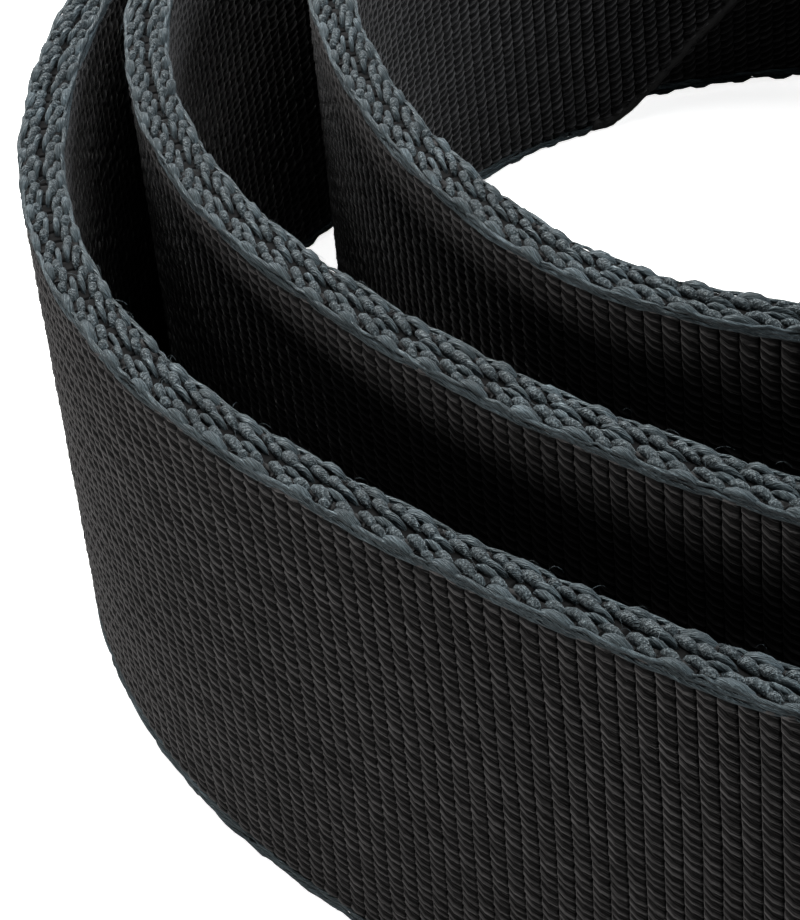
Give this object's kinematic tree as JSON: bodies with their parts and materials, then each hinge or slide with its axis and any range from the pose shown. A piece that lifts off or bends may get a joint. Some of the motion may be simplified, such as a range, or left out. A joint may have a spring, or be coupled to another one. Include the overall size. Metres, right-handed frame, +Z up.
{
  "type": "dive weight belt",
  "caption": "Loosely coiled dive weight belt of thick woven webbing, standing on edge, with a stainless quick-release buckle sewn to its outer end.",
  "frame": {"origin": "middle of the whole object's box in plan, on the surface that the belt stands on", "axes": "+Z up across the webbing's width; +Y along the sewn end towards the buckle's mouth; +X outward from the buckle's lever"},
  "size_m": [0.2213, 0.2209, 0.0595],
  "materials": {
    "webbing": "black double-woven nylon webbing with ribs across its width",
    "selvedge": "slate braided edge rows of nylon yarn",
    "melted_edge": "nylon melted and flattened by a hot knife",
    "thread": "bonded black sewing thread",
    "pressed_steel": "brushed stainless sheet with softened edges",
    "round_bar_steel": "drawn stainless rod",
    "pin_steel": "turned stainless rivet and washer",
    "cast_steel": "tumbled and brushed stainless casting"
  },
  "bodies": {
    "strap": {"webbing_free_end": "webbing", "webbing_inner_wrap": "webbing", "webbing_middle_wrap": "webbing", "webbing_outer_wrap": "webbing", "webbing_buckle_run": "webbing", "webbing_anchor_fold": "webbing", "heat_sealed_tip": "melted_edge", "outer_ply_upper_selvedge": "selvedge", "inner_ply_upper_selvedge": "selvedge", "outer_ply_lower_selvedge": "selvedge", "inner_ply_lower_selvedge": "selvedge", "anchor_stitching": "thread"},
    "buckle": {"buckle_frame": "pressed_steel", "anchor_bar": "round_bar_steel", "hinge_pin": "pin_steel", "pin_washer": "pin_steel"},
    "lever": {"lever": "cast_steel"}
  },
  "joints": [
    {"name": "buckle_swing", "type": "hinge", "parent": "strap", "child": "buckle", "pos_m": [0.09485, 0.01654, 0.03], "axis": [0, 0, -1], "range_deg": [-20, 18]},
    {"name": "lever_release", "type": "hinge", "parent": "buckle", "child": "lever", "pos_m": [0.10385, 0.05054, 0.03], "axis": [0, 0, 1], "range_deg": [0, 110]}
  ]
}
